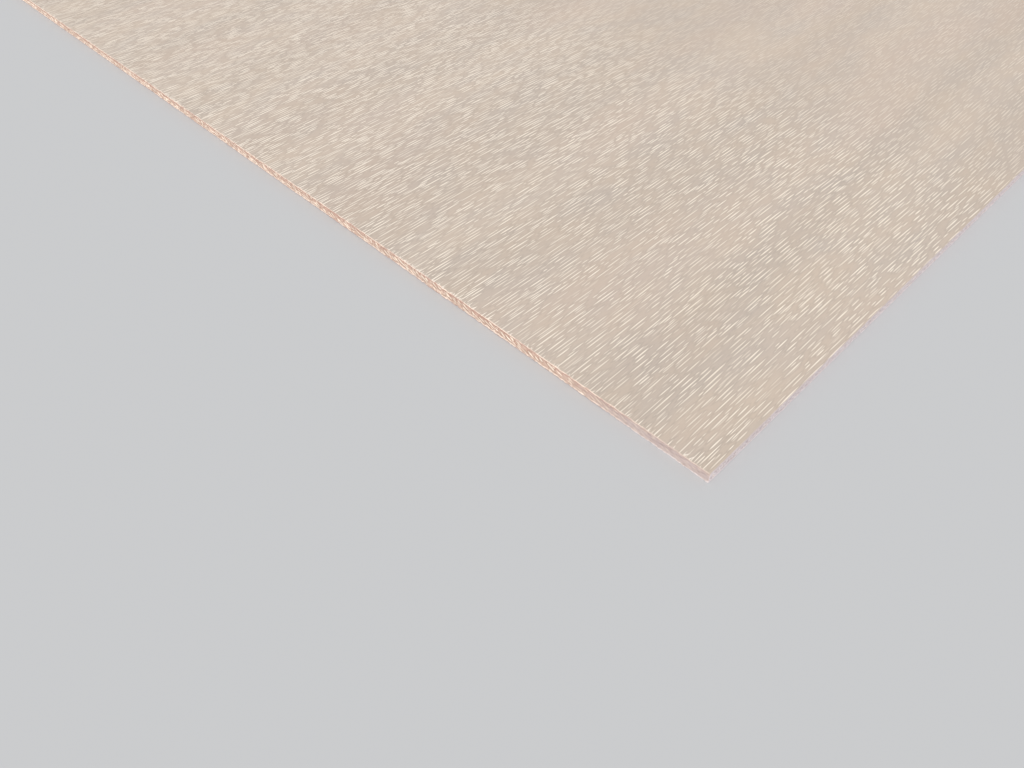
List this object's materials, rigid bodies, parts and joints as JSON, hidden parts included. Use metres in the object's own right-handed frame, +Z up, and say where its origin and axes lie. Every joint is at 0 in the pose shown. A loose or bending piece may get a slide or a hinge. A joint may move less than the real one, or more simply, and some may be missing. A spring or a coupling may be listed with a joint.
{
  "type": "plywood sheet",
  "caption": "Thin flat plywood sheet of cross-laid veneers, with a sanded pale face, a redder core showing at its edges, and saw-cut square corners.",
  "frame": {"origin": "centre of the back of the sheet, in the plane that it lies on", "axes": "+X along the sheet and the grain of its face, +Y across the sheet along the grain of its core, +Z up out of the face"},
  "size_m": [2.44, 1.22, 0.005],
  "materials": {
    "face": "sanded, unsealed rotary-cut hardwood veneer, cream, with fine pale pore lines along its grain",
    "core": "saw-cut edge of an unsanded reddish hardwood core veneer, grain across the sheet",
    "back": "sanded, unsealed rotary-cut hardwood veneer, a little darker and plainer than the face"
  },
  "bodies": {
    "root": {"face_veneer": "face", "core_veneer": "core", "back_veneer": "back"}
  },
  "joints": []
}
